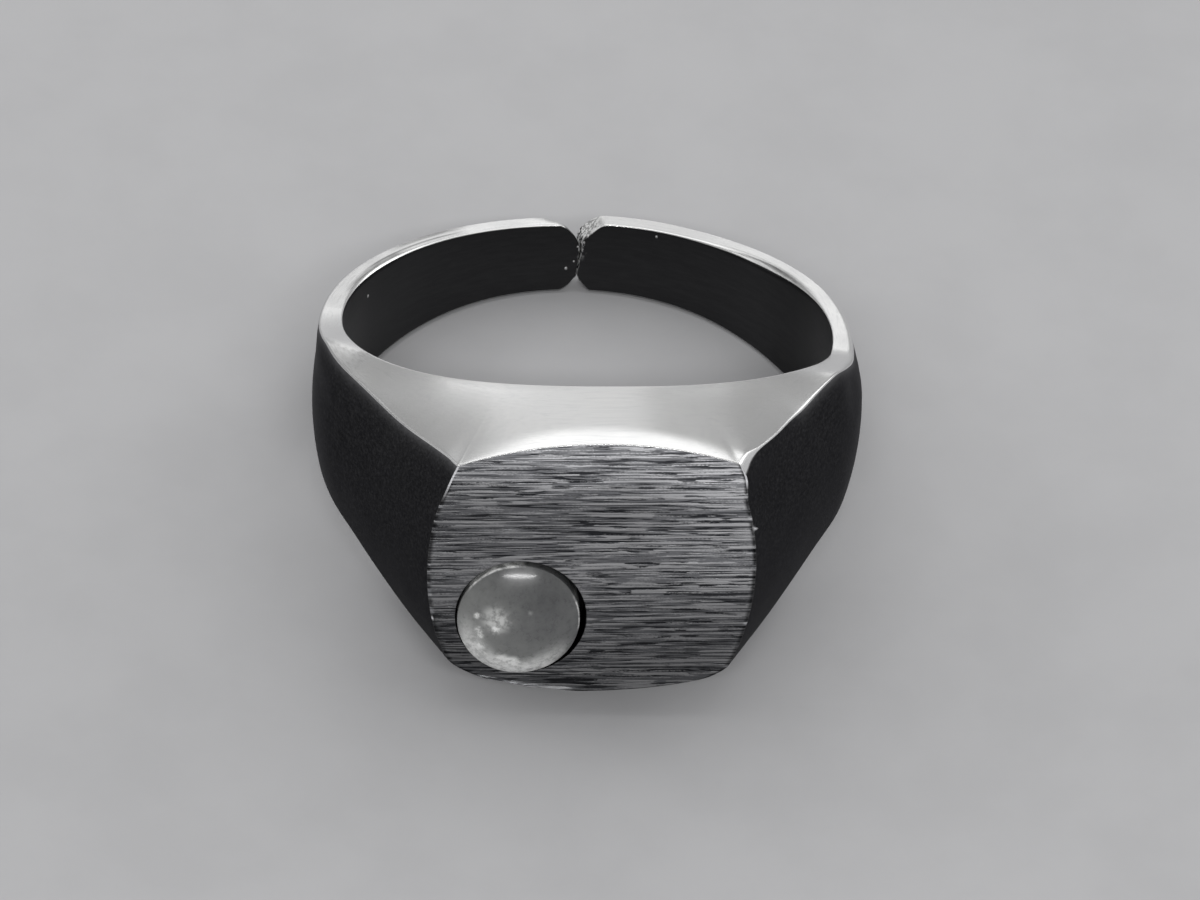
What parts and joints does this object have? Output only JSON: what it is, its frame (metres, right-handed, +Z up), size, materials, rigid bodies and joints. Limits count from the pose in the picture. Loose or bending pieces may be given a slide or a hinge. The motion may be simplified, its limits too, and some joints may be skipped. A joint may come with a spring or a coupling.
{
  "type": "opal signet ring",
  "caption": "Silver signet ring with a brushed cushion face, an open back and a small round opal cabochon set flush in the lower left of the face.",
  "frame": {"origin": "on the table under the middle of the ring's box, as the ring lies on its side", "axes": "+Z up from the table, -Y out of the face, +Y towards the split at the back, +X to the right as seen from in front of the face"},
  "size_m": [0.021, 0.0243, 0.0117],
  "materials": {
    "silver": "polished rims and head, satin shoulders, coarse brushed face",
    "opal": "polished, milky and clouded"
  },
  "bodies": {
    "root": {"signet_band": "silver", "opal_cabochon": "opal"}
  },
  "joints": []
}
